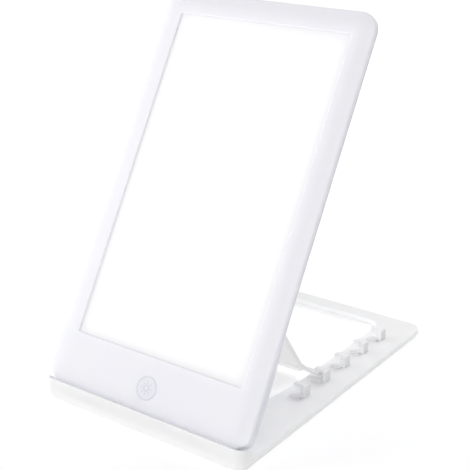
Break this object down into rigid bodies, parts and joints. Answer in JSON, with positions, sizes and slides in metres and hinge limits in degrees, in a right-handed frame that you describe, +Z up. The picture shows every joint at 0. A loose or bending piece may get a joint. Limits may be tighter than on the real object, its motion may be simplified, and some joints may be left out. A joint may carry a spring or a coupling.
{
  "type": "light therapy lamp",
  "caption": "Flat lit panel that stands behind the lip of a folding base, leaning back on a strut whose foot sits in stops along the rails.",
  "frame": {"origin": "middle of the object's footprint, on the table", "axes": "+X to the right as the user faces the lamp's screen, +Y from the front lip to the back, +Z up"},
  "size_m": [0.208, 0.3, 0.3197],
  "materials": {
    "base_shell": "satin moulded plastic",
    "foot_rubber": "matte rubber",
    "pin_steel": "turned steel",
    "bezel_shell": "satin moulded plastic",
    "cover_shell": "satin moulded plastic",
    "diffuser_opal": "opal acrylic, lit from behind",
    "film_clear": "prismatic film",
    "guide_clear": "clear acrylic",
    "reflector_white": "white film",
    "spreader_alu": "mill finish",
    "strip_board": "white solder mask with emitters",
    "circuit_board": "green solder mask",
    "screw_steel": "zinc plated",
    "socket_steel": "stamped shell",
    "ring_silver": "silver paint",
    "lens_plastic": "gloss",
    "lead_red": "insulated wire",
    "lead_white": "insulated wire",
    "strut_shell": "satin moulded plastic"
  },
  "bodies": {
    "base": {"base_frame": "base_shell", "stops_left": "base_shell", "stops_right": "base_shell", "foot_pads": "foot_rubber", "hinge_pins": "pin_steel"},
    "lamp": {"front_bezel": "bezel_shell", "back_cover": "cover_shell", "diffuser": "diffuser_opal", "prism_film": "film_clear", "light_guide": "guide_clear", "reflector": "reflector_white", "heat_spreader": "spreader_alu", "led_strip_left": "strip_board", "led_strip_right": "strip_board", "driver_board": "circuit_board", "board_screws": "screw_steel", "power_socket": "socket_steel", "touch_board": "circuit_board", "touch_ring": "ring_silver", "touch_lens": "lens_plastic", "led_leads": "lead_red", "touch_lead": "lead_white", "cover_screws": "screw_steel", "strut_rod": "pin_steel"},
    "strut": {"strut": "strut_shell"}
  },
  "joints": [
    {"name": "lamp_tilt", "type": "hinge", "parent": "base", "child": "lamp", "pos_m": [0, -0.134, 0.0104], "axis": [-1, 0, 0], "range_deg": [-7.5, 59.3]},
    {"name": "strut_swing", "type": "hinge", "parent": "lamp", "child": "strut", "pos_m": [0, -0.06477, 0.13386], "axis": [1, 0, 0], "range_deg": [-15.5, 119.1]}
  ],
  "couplings": [
    {"joint": "strut_swing", "follows": "lamp_tilt", "ratio": 2}
  ]
}
